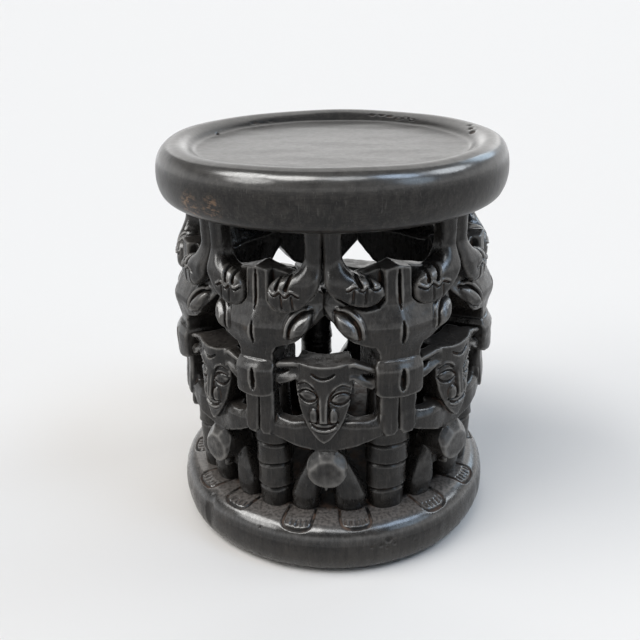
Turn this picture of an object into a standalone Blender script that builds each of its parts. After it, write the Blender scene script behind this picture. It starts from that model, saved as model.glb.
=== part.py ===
"""Carved round stool: a dished seat on seven squatting figures, banded pillars and beast heads.

Lengths are metres and +Z is up. The origin is the centre of the base's underside, and the first
figure faces -Y. The wall between base and seat repeats UNIT_COUNT times. One repeat holds a
squatting figure, and half a repeat further on a banded pillar that carries a beast head, and two
arms that hang from the seat with their fists on that head.
"""
import math

import bmesh
import bpy
from mathutils import Matrix, Vector

# Repeats of the carved wall, and the gap kept between pieces that touch
UNIT_COUNT = 7
FIT_GAP = 0.0003

# Hand carving: how far the forms drift from even spacing towards the back, and how far the wall
# stands out further at its two sides than at front and back
SPACING_DRIFT = math.radians(6.6)
SIDE_SWELL = 0.009

# Seat
SEAT_RADIUS = 0.1885
SEAT_THICKNESS = 0.0585
SEAT_TOP_ROUND = 0.020
SEAT_BOTTOM_ROUND = 0.017
RIM_WIDTH = 0.0245
DISH_SLOPE_WIDTH = 0.017
DISH_DEPTH = 0.011

# Base
BASE_RADIUS = 0.1835
BASE_THICKNESS = 0.0605
BASE_TOP_ROUND = 0.020
BASE_BOTTOM_ROUND = 0.017

# Carved wall: the outer face of the log that its forms follow, and how thick it stays
WALL_RADIUS = 0.165
WALL_THICKNESS = 0.057
EDGE_ROUND = 0.004

# Banded pillars
PILLAR_HEIGHT = 0.1485
SHAFT_HEIGHT = 0.090
SHAFT_FOOT_RADIUS = 0.0165
SHAFT_TOP_RADIUS = 0.0195
SHAFT_BANDS = 4
BAND_LIP = 0.003
PILLAR_NECK_RADIUS = 0.0125

# Beast heads
MUZZLE_WIDTH = 0.046
MUZZLE_HEIGHT = 0.035
MUZZLE_ROUND = 0.006
MUZZLE_PROUD = 0.008
BRIDGE_WIDTH = 0.040
BRIDGE_DEPTH = 0.006
BRIDGE_HEIGHT = 0.016
FACE_HEIGHT = 0.040
FACE_SIDE_CLEARANCE = 0.003
FACE_BULGE = 0.003
JOWL_FLARE = 0.4
CHEEK_FULLNESS = 0.8
FOREHEAD_WIDTH = 0.028
FOREHEAD_SETBACK = 0.004
CROWN_HEIGHT = 0.041
CROWN_WIDTH = 0.112
CROWN_THICKNESS = 0.022
CROWN_PEAK_WIDTH = 0.040
CROWN_PEAK_RISE = 0.007
BEAST_EYE_LENGTH = 0.034
BEAST_EYE_WIDTH = 0.017
BEAST_EYE_PROUD = 0.004
BEAST_EYE_SPREAD = 0.052
BEAST_EYE_SLANT = math.radians(52)
SLOT_WIDTH = 0.007
SLOT_LENGTH = 0.026
SLOT_DEPTH = 0.006

# Hanging arms
ARM_LENGTH = 0.0815
ARM_WIDTH = 0.019
ARM_DEPTH = 0.017
ARM_SIDE_CLEARANCE = 0.001
WRIST_WIDTH = 0.0285
HAND_HEIGHT = 0.038
HAND_DEPTH = 0.024
HAND_SETBACK = 0.001
FIST_FULLNESS = 0.95
FIST_HEEL = 0.75
PALM_WIDTH = 0.55

# Squatting figures: head
HEAD_WIDTH = 0.062
HEAD_HEIGHT = 0.087
HEAD_DEPTH = 0.034
HEAD_TOP_CLEARANCE = 0.017
CHIN_WIDTH = 0.012
EAR_HEIGHT = 0.024
EAR_THICKNESS = 0.012
EAR_DROOP = 0.006
EAR_CLEARANCE = 0.0025
NOSE_WIDTH = 0.009
NOSE_LENGTH = 0.045
NOSE_LEVEL = 0.020
NOSE_PROUD = 0.005
NOSTRIL_WIDTH = 0.020
EYE_LENGTH = 0.019
EYE_HEIGHT = 0.012
EYE_SPREAD = 0.0155

# Squatting figures: arms and torso
CHEST_HEIGHT = 0.094
CHEST_OVERLAP = 0.010
UPPER_ARM_THICKNESS = 0.026
UPPER_ARM_SETBACK = 0.001
ELBOW_BEND = 0.75
CHEST_BEND = 0.3
FOREARM_WIDTH = 0.018
FOREARM_DEPTH = 0.016
FOREARM_SIDE_CLEARANCE = 0.001
TORSO_WIDTH = 0.044
TORSO_SETBACK = 0.018
CROTCH_HEIGHT = 0.030
KNOB_WIDTH = 0.046
KNOB_HEIGHT = 0.044
KNOB_LEVEL = 0.061
KNOB_PROUD = 0.001
KNOB_BEVEL = 0.010
KNOB_FACE_WIDTH = 0.040
KNOB_FACE_HEIGHT = 0.030
KNOB_FACE_DROP = 0.004

# Squatting figures: legs and feet
LEG_WIDTH = 0.035
LEG_DEPTH = 0.033
LEG_HEIGHT = 0.060
LEG_SETBACK = 0.016
LEG_CLEARANCE = 0.003
LEG_TOP_WIDTH = 0.015
HIP_SPREAD = 0.016
FOOT_WIDTH = 0.031
FOOT_THICKNESS = 0.004
FOOT_PROUD = 0.006
FOOT_TURNOUT = 0.002

# Facets
DISC_SEGMENTS = 48
PILLAR_SEGMENTS = 10
ROUND_STEPS = 3
FORM_SIDES = 10
LIMB_SIDES = 8
SMALL_SIDES = 6
BALL_RINGS = 4
FORM_SQUARENESS = 0.62
LIMB_SQUARENESS = 0.7
FACE_SQUARENESS = 0.45
MERGE_DISTANCE = 0.00001
SMOOTH_ANGLE = math.radians(38)

# Levels that the pieces share, from the floor up
BASE_TOP = BASE_THICKNESS
SHAFT_TOP = BASE_TOP + SHAFT_HEIGHT
CHIN_LEVEL = BASE_TOP + PILLAR_HEIGHT
MUZZLE_TOP = CHIN_LEVEL + MUZZLE_HEIGHT
FACE_BOTTOM = MUZZLE_TOP + BRIDGE_HEIGHT
LEDGE_LEVEL = FACE_BOTTOM + FACE_HEIGHT
CROWN_TOP = LEDGE_LEVEL + CROWN_HEIGHT
SEAT_UNDERSIDE = LEDGE_LEVEL + ARM_LENGTH
SEAT_TOP = SEAT_UNDERSIDE + SEAT_THICKNESS
HEAD_TOP = FACE_BOTTOM - HEAD_TOP_CLEARANCE
HEAD_CHIN = HEAD_TOP - HEAD_HEIGHT

# Distances from the stool's axis that the pieces share
HOLLOW_RADIUS = WALL_RADIUS - WALL_THICKNESS
HAND_FRONT = WALL_RADIUS - HAND_SETBACK
HAND_BACK = HAND_FRONT - HAND_DEPTH
UPPER_ARM_FRONT = WALL_RADIUS - UPPER_ARM_SETBACK
FOREARM_BACK = UPPER_ARM_FRONT - FOREARM_DEPTH
PILLAR_RING_RADIUS = FOREARM_BACK - FIT_GAP - PILLAR_NECK_RADIUS
TORSO_FRONT = WALL_RADIUS - TORSO_SETBACK

# Half a repeat, and half a pillar, as angles and as lengths along the wall
HALF_PITCH = math.pi / UNIT_COUNT
HALF_PITCH_ARC = HALF_PITCH * WALL_RADIUS
HALF_PILLAR_ARC = math.asin((SHAFT_TOP_RADIUS + BAND_LIP) / PILLAR_RING_RADIUS) * WALL_RADIUS


def clear_scene():
    for obj in list(bpy.data.objects):
        bpy.data.objects.remove(obj, do_unlink=True)


def new_collection(name):
    collection = bpy.data.collections.new(name)
    bpy.context.scene.collection.children.link(collection)
    return collection


def wood(name, colour, roughness):
    material = bpy.data.materials.new(name)
    material.use_nodes = True
    shader = material.node_tree.nodes["Principled BSDF"]
    shader.inputs["Base Color"].default_value = (*colour, 1.0)
    shader.inputs["Roughness"].default_value = roughness
    shader.inputs["Metallic"].default_value = 0.0
    return material


def on_wall(along, radius, height):
    """A point given by its length along the wall, its distance from the axis and its height."""
    angle = along / WALL_RADIUS
    return Vector((radius * math.sin(angle), -radius * math.cos(angle), height))


def rounded_ring(sides, squareness):
    """Unit ring of a rounded rectangle; squareness 1 is an ellipse, towards 0 a rectangle."""
    ring = []
    for index in range(sides):
        turn = 2.0 * math.pi * (index + 0.5) / sides
        across = math.copysign(abs(math.cos(turn)) ** squareness, math.cos(turn))
        out = math.copysign(abs(math.sin(turn)) ** squareness, math.sin(turn))
        ring.append((across, out))
    return ring


def level_ring(height, middle, half_width, front, back, sides=FORM_SIDES, squareness=FORM_SQUARENESS):
    """A level section through a form of the wall."""
    centre = (front + back) / 2.0
    reach = (front - back) / 2.0
    return [on_wall(middle + half_width * across, centre + reach * out, height)
            for across, out in rounded_ring(sides, squareness)]


def upright_ring(along, level, half_height, front, back, sides=LIMB_SIDES):
    """An upright section across a limb that runs along the wall."""
    centre = (front + back) / 2.0
    reach = (front - back) / 2.0
    return [on_wall(along, centre + reach * out, level + half_height * across)
            for across, out in rounded_ring(sides, LIMB_SQUARENESS)]


def facing_ring(distance, level, half_width, half_height, sides=LIMB_SIDES):
    """A section that faces straight outwards, at a distance from the axis."""
    return [Vector((half_width * across, -distance, level + half_height * up))
            for across, up in rounded_ring(sides, 1.0)]


def add_mesh_object(name, mesh, collection):
    obj = bpy.data.objects.new(name, mesh)
    collection.objects.link(obj)
    return obj


def loft(name, rings, collection):
    """Closed body through a row of rings with as many points each."""
    shape = bmesh.new()
    rows = [[shape.verts.new(point) for point in ring] for ring in rings]
    for row, following in zip(rows, rows[1:]):
        for index in range(len(row)):
            after = (index + 1) % len(row)
            shape.faces.new((row[index], row[after], following[after], following[index]))
    shape.faces.new(rows[0])
    shape.faces.new(rows[-1])
    bmesh.ops.recalc_face_normals(shape, faces=shape.faces)
    mesh = bpy.data.meshes.new(name)
    shape.to_mesh(mesh)
    shape.free()
    return add_mesh_object(name, mesh, collection)


def ellipsoid(name, place, half_sizes, collection, segments=LIMB_SIDES):
    """A sphere stretched to half_sizes and set in place by a matrix."""
    shape = bmesh.new()
    bmesh.ops.create_uvsphere(shape, u_segments=segments, v_segments=BALL_RINGS, radius=1.0)
    stretch = Matrix.Diagonal((*half_sizes, 1.0))
    bmesh.ops.transform(shape, matrix=place @ stretch, verts=shape.verts)
    mesh = bpy.data.meshes.new(name)
    shape.to_mesh(mesh)
    shape.free()
    return add_mesh_object(name, mesh, collection)


def facing_place(along, radius, height, roll=0.0):
    """Matrix at a point of the wall: X along it, -Y outwards, rolled about the outward line."""
    turn = Matrix.Rotation(along / WALL_RADIUS, 4, "Z")
    tilt = Matrix.Rotation(roll, 4, "Y")
    return Matrix.Translation(on_wall(along, radius, height)) @ turn @ tilt


def combine(name, body, others, operation, collection):
    """Mesh of body after a Boolean with each of the others, which are then removed."""
    for other in others:
        modifier = body.modifiers.new(other.name, "BOOLEAN")
        modifier.operation = operation
        modifier.solver = "EXACT"
        modifier.object = other
        other.hide_render = True
        other.display_type = "WIRE"
    bpy.context.view_layer.update()
    evaluated = body.evaluated_get(bpy.context.evaluated_depsgraph_get())
    mesh = bpy.data.meshes.new_from_object(evaluated)
    mesh.name = name
    for used in (body, *others):
        bpy.data.objects.remove(used, do_unlink=True)
    return add_mesh_object(name, mesh, collection)


def taken_mesh(obj):
    """The mesh of a helper object, which is removed."""
    mesh = obj.data
    bpy.data.objects.remove(obj, do_unlink=True)
    return mesh


def arc(centre_x, centre_z, radius, start, end):
    """Points of a profile's round, from start to end in degrees."""
    points = []
    for step in range(ROUND_STEPS + 1):
        turn = math.radians(start + (end - start) * step / ROUND_STEPS)
        points.append((centre_x + radius * math.cos(turn), centre_z + radius * math.sin(turn)))
    return points


def turned(name, profile, segments, collection):
    """Body turned about Z from a profile of (radius, height), from the top down its outer side."""
    mesh = bpy.data.meshes.new(name)
    points = [(radius, 0.0, height) for radius, height in profile]
    mesh.from_pydata(points, [(i, i + 1) for i in range(len(points) - 1)], [])
    obj = add_mesh_object(name, mesh, collection)
    screw = obj.modifiers.new("Turn", "SCREW")
    screw.axis = "Z"
    screw.steps = segments
    screw.render_steps = segments
    screw.use_merge_vertices = True
    screw.merge_threshold = MERGE_DISTANCE
    return obj


def finish_piece(mesh, material):
    mesh.materials.clear()
    mesh.materials.append(material)
    mesh.shade_smooth()
    mesh.set_sharp_from_angle(angle=SMOOTH_ANGLE)


def make_seat(parts, material):
    """Thick disc with rounded edges, dished on top inside a broad rim."""
    floor = SEAT_TOP - DISH_DEPTH
    dish_radius = SEAT_RADIUS - RIM_WIDTH - DISH_SLOPE_WIDTH
    profile = [(0.0, floor)]
    for step in range(ROUND_STEPS + 1):
        share = step / ROUND_STEPS
        rise = (1.0 - math.cos(math.pi * share)) / 2.0
        profile.append((dish_radius + DISH_SLOPE_WIDTH * share, floor + DISH_DEPTH * rise))
    profile += arc(SEAT_RADIUS - SEAT_TOP_ROUND, SEAT_TOP - SEAT_TOP_ROUND, SEAT_TOP_ROUND, 90, 0)
    profile += arc(SEAT_RADIUS - SEAT_BOTTOM_ROUND, SEAT_UNDERSIDE + SEAT_BOTTOM_ROUND,
                   SEAT_BOTTOM_ROUND, 0, -90)
    profile.append((0.0, SEAT_UNDERSIDE))
    seat = turned("seat", profile, DISC_SEGMENTS, parts)
    finish_piece(seat.data, material)
    return seat


def make_base(parts, material):
    """Thick disc with rounded edges, flat on the floor."""
    profile = [(0.0, BASE_TOP)]
    profile += arc(BASE_RADIUS - BASE_TOP_ROUND, BASE_TOP - BASE_TOP_ROUND, BASE_TOP_ROUND, 90, 0)
    profile += arc(BASE_RADIUS - BASE_BOTTOM_ROUND, BASE_BOTTOM_ROUND, BASE_BOTTOM_ROUND, 0, -90)
    profile.append((0.0, 0.0))
    base = turned("base", profile, DISC_SEGMENTS, parts)
    finish_piece(base.data, material)
    return base


def pillar_mesh(cutters):
    """Tapered shaft of lapping bands, with a slimmer neck that goes up behind the forearms."""
    foot = BASE_TOP + FIT_GAP
    band_height = (SHAFT_TOP - foot) / SHAFT_BANDS
    profile = [(0.0, CHIN_LEVEL - FIT_GAP), (PILLAR_NECK_RADIUS, CHIN_LEVEL - FIT_GAP)]
    profile.append((PILLAR_NECK_RADIUS, SHAFT_TOP))
    for band in range(SHAFT_BANDS):
        upper = SHAFT_TOP - band * band_height
        lower = upper - band_height
        share = band / (SHAFT_BANDS - 1)
        radius = SHAFT_TOP_RADIUS + (SHAFT_FOOT_RADIUS - SHAFT_TOP_RADIUS) * share
        profile.append((radius, upper))
        profile.append((radius + BAND_LIP, lower + BAND_LIP))
    profile += [(SHAFT_FOOT_RADIUS, foot), (0.0, foot)]
    shaft = turned("pillar", profile, PILLAR_SEGMENTS, cutters)
    shaft.location = (0.0, -PILLAR_RING_RADIUS, 0.0)
    bpy.context.view_layer.update()
    evaluated = shaft.evaluated_get(bpy.context.evaluated_depsgraph_get())
    mesh = bpy.data.meshes.new_from_object(evaluated)
    mesh.transform(shaft.matrix_world)
    mesh.name = "pillar"
    bpy.data.objects.remove(shaft, do_unlink=True)
    return mesh


def beast_head_mesh(cutters):
    """Muzzle block, narrow bridge, wide cheeks with slanted eyes, and a crown behind the fists."""
    muzzle = MUZZLE_WIDTH / 2.0
    bridge = BRIDGE_WIDTH / 2.0
    face = HALF_PITCH_ARC - FACE_SIDE_CLEARANCE
    muzzle_front = WALL_RADIUS + MUZZLE_PROUD
    bridge_front = muzzle_front - BRIDGE_DEPTH
    face_front = WALL_RADIUS + FACE_BULGE
    eye_level = LEDGE_LEVEL - BEAST_EYE_WIDTH
    cheek_level = (FACE_BOTTOM + eye_level) / 2.0
    muzzle_edge = muzzle_front - MUZZLE_ROUND / 2.0
    sections = (
        (CHIN_LEVEL, muzzle - MUZZLE_ROUND / 3.0, muzzle_edge),
        (CHIN_LEVEL + MUZZLE_ROUND, muzzle, muzzle_front),
        (MUZZLE_TOP - MUZZLE_ROUND, muzzle, muzzle_front),
        (MUZZLE_TOP, bridge, muzzle_edge),
        (MUZZLE_TOP + BRIDGE_HEIGHT / 2.0, bridge, bridge_front),
        (FACE_BOTTOM, bridge + JOWL_FLARE * (face - bridge), bridge_front),
        (cheek_level, CHEEK_FULLNESS * face, face_front),
        (eye_level, face, face_front),
        (LEDGE_LEVEL, face - FACE_SIDE_CLEARANCE, WALL_RADIUS),
    )
    lower = loft("face", [level_ring(height, 0.0, half, front, HOLLOW_RADIUS)
                          for height, half, front in sections], cutters)
    crown_front = HAND_BACK - FIT_GAP
    crown_back = crown_front - CROWN_THICKNESS
    crown_edge = CROWN_TOP - CROWN_PEAK_RISE
    crown_sections = (
        (eye_level, CROWN_WIDTH),
        (crown_edge, CROWN_WIDTH),
        (CROWN_TOP, CROWN_PEAK_WIDTH),
    )
    crown = loft("crown", [level_ring(height, 0.0, width / 2.0, crown_front, crown_back, LIMB_SIDES)
                           for height, width in crown_sections], cutters)
    forehead_front = WALL_RADIUS - FOREHEAD_SETBACK
    forehead_back = crown_back + EDGE_ROUND
    forehead_sections = (
        (eye_level, forehead_front),
        (crown_edge, forehead_front),
        (CROWN_TOP, crown_front),
    )
    forehead = loft("forehead", [
        level_ring(height, 0.0, FOREHEAD_WIDTH / 2.0, front, forehead_back, LIMB_SIDES)
        for height, front in forehead_sections
    ], cutters)
    half_eye = BEAST_EYE_WIDTH / 2.0
    eye_half = (BEAST_EYE_LENGTH / 2.0, half_eye + BEAST_EYE_PROUD, half_eye)
    eyes = []
    for side in (-1.0, 1.0):
        place = facing_place(side * BEAST_EYE_SPREAD, face_front - half_eye, eye_level,
                             -side * BEAST_EYE_SLANT)
        eyes.append(ellipsoid("eye", place, eye_half, cutters))
    solid = combine("beast", lower, [crown, forehead, *eyes], "UNION", cutters)
    slot_place = facing_place(0.0, muzzle_front, (CHIN_LEVEL + MUZZLE_TOP) / 2.0)
    slot_half = (SLOT_WIDTH / 2.0, SLOT_DEPTH, SLOT_LENGTH / 2.0)
    slot = ellipsoid("slot", slot_place, slot_half, cutters, SMALL_SIDES)
    return taken_mesh(combine("beast_head", solid, [slot], "DIFFERENCE", cutters))


def hanging_arm_mesh(side, cutters):
    """Arm that hangs from the seat beside the next one and hooks inwards into a fist on a head."""
    outer = HALF_PITCH_ARC - ARM_SIDE_CLEARANCE
    inner = FOREHEAD_WIDTH / 2.0 + 2.0 * FIT_GAP
    top = SEAT_UNDERSIDE - FIT_GAP
    foot = LEDGE_LEVEL + FIT_GAP
    hand_top = foot + HAND_HEIGHT
    arm_front = HAND_BACK + ARM_DEPTH
    arm = ARM_WIDTH / 2.0
    wrist = WRIST_WIDTH / 2.0
    hand = (outer - inner) / 2.0
    fist = FIST_FULLNESS * hand
    heel = FIST_HEEL * hand
    palm = PALM_WIDTH * hand
    sections = (
        (top, outer - arm, arm, arm_front),
        (hand_top + arm, outer - arm, arm, arm_front),
        (hand_top, outer - wrist, wrist, HAND_FRONT - EDGE_ROUND),
        (hand_top - EDGE_ROUND, inner + hand, hand, HAND_FRONT),
        (foot + HAND_HEIGHT / 2.0, inner + fist, fist, HAND_FRONT),
        (foot + EDGE_ROUND, inner + heel, heel, HAND_FRONT - EDGE_ROUND / 2.0),
        (foot, inner + heel, palm, HAND_FRONT - 2.0 * EDGE_ROUND),
    )
    rings = [level_ring(height, side * centre, half, front, HAND_BACK, LIMB_SIDES)
             for height, centre, half, front in sections]
    return taken_mesh(loft("hanging_arm", rings, cutters))


def figure_head(cutters):
    """Shield-shaped face under a flat top, with a long nose, round eyes and level ears."""
    half = HEAD_WIDTH / 2.0
    chin = CHIN_WIDTH / 2.0
    back = WALL_RADIUS - HEAD_DEPTH
    outline = ((0.0, 0.0), (0.12, 0.4), (0.34, 0.72), (0.62, 0.96), (0.94, 1.0), (1.0, 0.95))
    pieces = [loft("head", [
        level_ring(HEAD_CHIN + HEAD_HEIGHT * rise, 0.0, chin + (half - chin) * spread, WALL_RADIUS, back,
                   squareness=FACE_SQUARENESS)
        for rise, spread in outline
    ], cutters)]
    nose_top = HEAD_CHIN + NOSE_LEVEL + NOSE_LENGTH
    tip = WALL_RADIUS + NOSE_PROUD
    nose_sections = (
        (nose_top - NOSE_LENGTH, NOSTRIL_WIDTH, tip - NOSE_PROUD / 3.0),
        (nose_top - NOSE_LENGTH + NOSE_WIDTH, NOSE_WIDTH, tip),
        (nose_top, NOSE_WIDTH, tip - NOSE_PROUD / 2.0),
    )
    pieces.append(loft("nose", [level_ring(height, 0.0, width / 2.0, front, back, SMALL_SIDES)
                                for height, width, front in nose_sections], cutters))
    ear_tip = HALF_PITCH_ARC - MUZZLE_WIDTH / 2.0 - EAR_CLEARANCE
    ear_level = HEAD_TOP - EDGE_ROUND - EAR_HEIGHT / 2.0
    ear_front = WALL_RADIUS - EDGE_ROUND / 2.0
    ear_back = ear_front - EAR_THICKNESS
    ear_sections = (
        (half / 2.0, ear_level, EAR_HEIGHT / 3.0),
        ((half + ear_tip) / 2.0, ear_level, EAR_HEIGHT / 2.0),
        (ear_tip, ear_level - EAR_DROOP, EAR_HEIGHT / 5.0),
    )
    eye_half = (EYE_LENGTH / 2.0, EYE_HEIGHT / 2.0, EYE_HEIGHT / 2.0)
    for side in (-1.0, 1.0):
        pieces.append(loft("ear", [
            upright_ring(side * along, level, half_height, ear_front, ear_back, SMALL_SIDES)
            for along, level, half_height in ear_sections
        ], cutters))
        place = facing_place(side * EYE_SPREAD, WALL_RADIUS - EYE_HEIGHT / 4.0, nose_top - EYE_HEIGHT)
        pieces.append(ellipsoid("eye", place, eye_half, cutters, SMALL_SIDES))
    return pieces


def figure_arms(cutters):
    """Upper arms in one band across the chest, and forearms that rise against the pillars' necks."""
    half_thick = UPPER_ARM_THICKNESS / 2.0
    half_forearm = FOREARM_WIDTH / 2.0
    chest_level = BASE_TOP + CHEST_HEIGHT
    elbow_foot = SHAFT_TOP + FIT_GAP
    elbow_level = elbow_foot + half_thick
    elbow = HALF_PITCH_ARC - FOREARM_SIDE_CLEARANCE - half_forearm
    wrist_level = CHIN_LEVEL - FIT_GAP
    chest_back = TORSO_FRONT - CHEST_OVERLAP
    outward = (
        (1.0, elbow_level, half_forearm, FOREARM_BACK),
        (ELBOW_BEND, elbow_level, half_thick, FOREARM_BACK),
        (CHEST_BEND, chest_level, half_thick, chest_back),
    )
    stations = [(-share, level, thick, back) for share, level, thick, back in outward]
    stations += reversed(outward)
    pieces = [loft("upper_arms", [
        upright_ring(share * elbow, level, thick, UPPER_ARM_FRONT, back)
        for share, level, thick, back in stations
    ], cutters)]
    forearm_sections = (
        (elbow_foot, half_forearm - EDGE_ROUND / 2.0),
        (elbow_foot + half_forearm, half_forearm),
        (wrist_level, half_forearm),
    )
    for side in (-1.0, 1.0):
        pieces.append(loft("forearm", [
            level_ring(height, side * elbow, half, UPPER_ARM_FRONT, FOREARM_BACK, LIMB_SIDES)
            for height, half in forearm_sections
        ], cutters))
    return pieces


def figure_legs(cutters):
    """Squatting legs that lean in towards the hips, and flat feet that reach over the base's edge."""
    sole = BASE_TOP + FIT_GAP
    front = WALL_RADIUS - LEG_SETBACK
    leg_back = front - LEG_DEPTH
    foot_back = (front + leg_back) / 2.0
    toe = WALL_RADIUS + FOOT_PROUD
    half = LEG_WIDTH / 2.0
    leg_spread = HALF_PITCH_ARC - HALF_PILLAR_ARC - LEG_CLEARANCE - half
    leg_sections = (
        (sole, leg_spread, half - EDGE_ROUND / 2.0, front - EDGE_ROUND / 2.0),
        (BASE_TOP + LEG_HEIGHT / 3.0, leg_spread, half, front),
        (BASE_TOP + LEG_HEIGHT, HIP_SPREAD, LEG_TOP_WIDTH / 2.0, front - EDGE_ROUND),
    )
    foot_sections = (
        (sole, FOOT_WIDTH / 2.0, toe),
        (sole + FOOT_THICKNESS, FOOT_WIDTH / 2.0 - FOOT_THICKNESS, toe - 2.0 * FOOT_THICKNESS),
    )
    pieces = []
    for side in (-1.0, 1.0):
        pieces.append(loft("leg", [level_ring(height, side * spread, width, face, leg_back, LIMB_SIDES)
                                   for height, spread, width, face in leg_sections], cutters))
        foot_spread = side * (leg_spread + FOOT_TURNOUT)
        pieces.append(loft("foot", [level_ring(height, foot_spread, width, tip, foot_back, LIMB_SIDES)
                                    for height, width, tip in foot_sections], cutters))
    return pieces


def figure_torso(cutters):
    """Torso at the back of the figure, with a faceted knob that stands out below the chest."""
    knob_level = BASE_TOP + KNOB_LEVEL
    knob_front = WALL_RADIUS + KNOB_PROUD
    half = TORSO_WIDTH / 2.0
    torso_sections = (
        (BASE_TOP + CROTCH_HEIGHT, HIP_SPREAD, TORSO_FRONT - EDGE_ROUND),
        (knob_level, half, TORSO_FRONT),
        (HEAD_CHIN + HEAD_HEIGHT / 2.0, half - EDGE_ROUND, TORSO_FRONT - EDGE_ROUND),
    )
    torso = loft("torso", [level_ring(height, 0.0, width, front, HOLLOW_RADIUS, LIMB_SIDES)
                           for height, width, front in torso_sections], cutters)
    knob = loft("knob", [
        facing_ring(TORSO_FRONT - KNOB_BEVEL, knob_level, KNOB_WIDTH / 2.0, KNOB_HEIGHT / 2.0),
        facing_ring(knob_front - KNOB_BEVEL, knob_level, KNOB_WIDTH / 2.0, KNOB_HEIGHT / 2.0),
        facing_ring(knob_front, knob_level - KNOB_FACE_DROP, KNOB_FACE_WIDTH / 2.0, KNOB_FACE_HEIGHT / 2.0),
    ], cutters)
    return [torso, knob]


def figure_mesh(cutters):
    torso, *others = figure_torso(cutters)
    others += figure_arms(cutters) + figure_legs(cutters) + figure_head(cutters)
    return taken_mesh(combine("figure", torso, others, "UNION", cutters))


def carved_angle(angle):
    """Where the carver set what even spacing would put at an angle from the front."""
    return angle + SPACING_DRIFT * (1.0 - math.cos(angle))


def as_carved(name, mesh, turn):
    """Copy of a repeat's mesh, uneven as the carving is at that turn about the stool's axis."""
    copy = mesh.copy()
    copy.name = name
    for vertex in copy.vertices:
        x, y, height = vertex.co
        even = turn + math.atan2(x, -y)
        angle = carved_angle(even) - carved_angle(turn)
        radius = math.hypot(x, y) + SIDE_SWELL * math.sin(even) ** 2
        vertex.co = (radius * math.sin(angle), -radius * math.cos(angle), height)
    return copy


def place_copies(name, mesh, first_angle, centre, parts):
    """One object a repeat, turned about the stool's axis."""
    for unit in range(UNIT_COUNT):
        turn = first_angle + 2.0 * HALF_PITCH * unit
        copy_name = f"{name}_{unit + 1}"
        obj = add_mesh_object(copy_name, as_carved(copy_name, mesh, turn), parts)
        obj.rotation_euler.z = carved_angle(turn)
        obj.parent = centre
    bpy.data.meshes.remove(mesh)


def build():
    clear_scene()
    parts = new_collection("carved_stool")
    cutters = new_collection("cutters")
    cutters.hide_render = True
    centre = bpy.data.objects.new("stool_centre", None)
    parts.objects.link(centre)

    seat_wood = wood("seat_wood", (0.055, 0.048, 0.044), 0.42)
    base_wood = wood("base_wood", (0.035, 0.030, 0.027), 0.45)
    figure_wood = wood("figure_wood", (0.026, 0.022, 0.020), 0.40)
    pillar_wood = wood("pillar_wood", (0.022, 0.018, 0.016), 0.50)
    beast_wood = wood("beast_wood", (0.030, 0.025, 0.023), 0.38)
    arm_wood = wood("arm_wood", (0.028, 0.023, 0.021), 0.40)

    for disc in (make_seat(parts, seat_wood), make_base(parts, base_wood)):
        disc.parent = centre
    carvings = (
        ("figure", figure_mesh(cutters), 0.0, figure_wood),
        ("pillar", pillar_mesh(cutters), HALF_PITCH, pillar_wood),
        ("beast_head", beast_head_mesh(cutters), HALF_PITCH, beast_wood),
        ("hanging_arm_left", hanging_arm_mesh(-1.0, cutters), HALF_PITCH, arm_wood),
        ("hanging_arm_right", hanging_arm_mesh(1.0, cutters), HALF_PITCH, arm_wood),
    )
    for name, mesh, first_angle, material in carvings:
        finish_piece(mesh, material)
        place_copies(name, mesh, first_angle, centre, parts)


build()
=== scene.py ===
"""Looks of the carved stool: figures, heads and arms carved in blocks of wood, pillars and discs turned.

Shapes are in millimetres, in the wall's own directions: u along it, v out from the stool's axis, w up.
"""
import functools
import math

import bpy
import numpy as np
from mathutils import Matrix, Vector


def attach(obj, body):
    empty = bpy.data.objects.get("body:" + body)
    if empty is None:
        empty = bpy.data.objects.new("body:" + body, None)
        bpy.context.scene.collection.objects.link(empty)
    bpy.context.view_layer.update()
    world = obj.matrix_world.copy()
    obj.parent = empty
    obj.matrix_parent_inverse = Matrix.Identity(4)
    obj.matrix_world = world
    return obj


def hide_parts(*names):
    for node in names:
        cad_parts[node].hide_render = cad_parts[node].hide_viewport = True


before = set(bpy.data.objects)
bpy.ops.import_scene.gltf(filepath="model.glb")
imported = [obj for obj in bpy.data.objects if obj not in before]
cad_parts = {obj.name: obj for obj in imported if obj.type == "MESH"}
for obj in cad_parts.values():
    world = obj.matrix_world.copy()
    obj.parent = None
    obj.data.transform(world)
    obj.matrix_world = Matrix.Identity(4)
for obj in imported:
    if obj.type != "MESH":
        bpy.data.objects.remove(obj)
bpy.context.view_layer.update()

MM = 0.001
FULL_TURN = 2 * math.pi
SIDES = (-1, 1)

# The carving repeats around the stool, and lengths along it are measured at one radius of the wall
UNITS = 7
PITCH = FULL_TURN / UNITS
WALL = 165

# Grid of the carving, finer on the repeats that face the front
CELL = 1.1
FINE_CELL = 0.88
FRONT_UNITS = (1, 2, UNITS - 1, UNITS)

# Levels, drift and swell of the carving, as in the solids, and how far the wall reaches into the discs
BASE_TOP = 60.5
CHIN = 209
SEAT_UNDER = 381.5
SINK = 2
SPACING_DRIFT = math.radians(6.6)
SIDE_SWELL = 9

# What the hand added to the drift near the front, and the stretch that blends it, in degrees
HAND_AT = (-180, -77, -51.4, -25.7, 0, 25.7, 51.4, 77, 180)
HAND_BY = (0, 1, 2.2, 0, -1, 0.3, 0.4, 0, 0)
HAND_BLEND = 12


def wrapped(angle):
    """The same angle, at most half a turn from 0."""
    return (angle + math.pi) % FULL_TURN - math.pi


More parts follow.
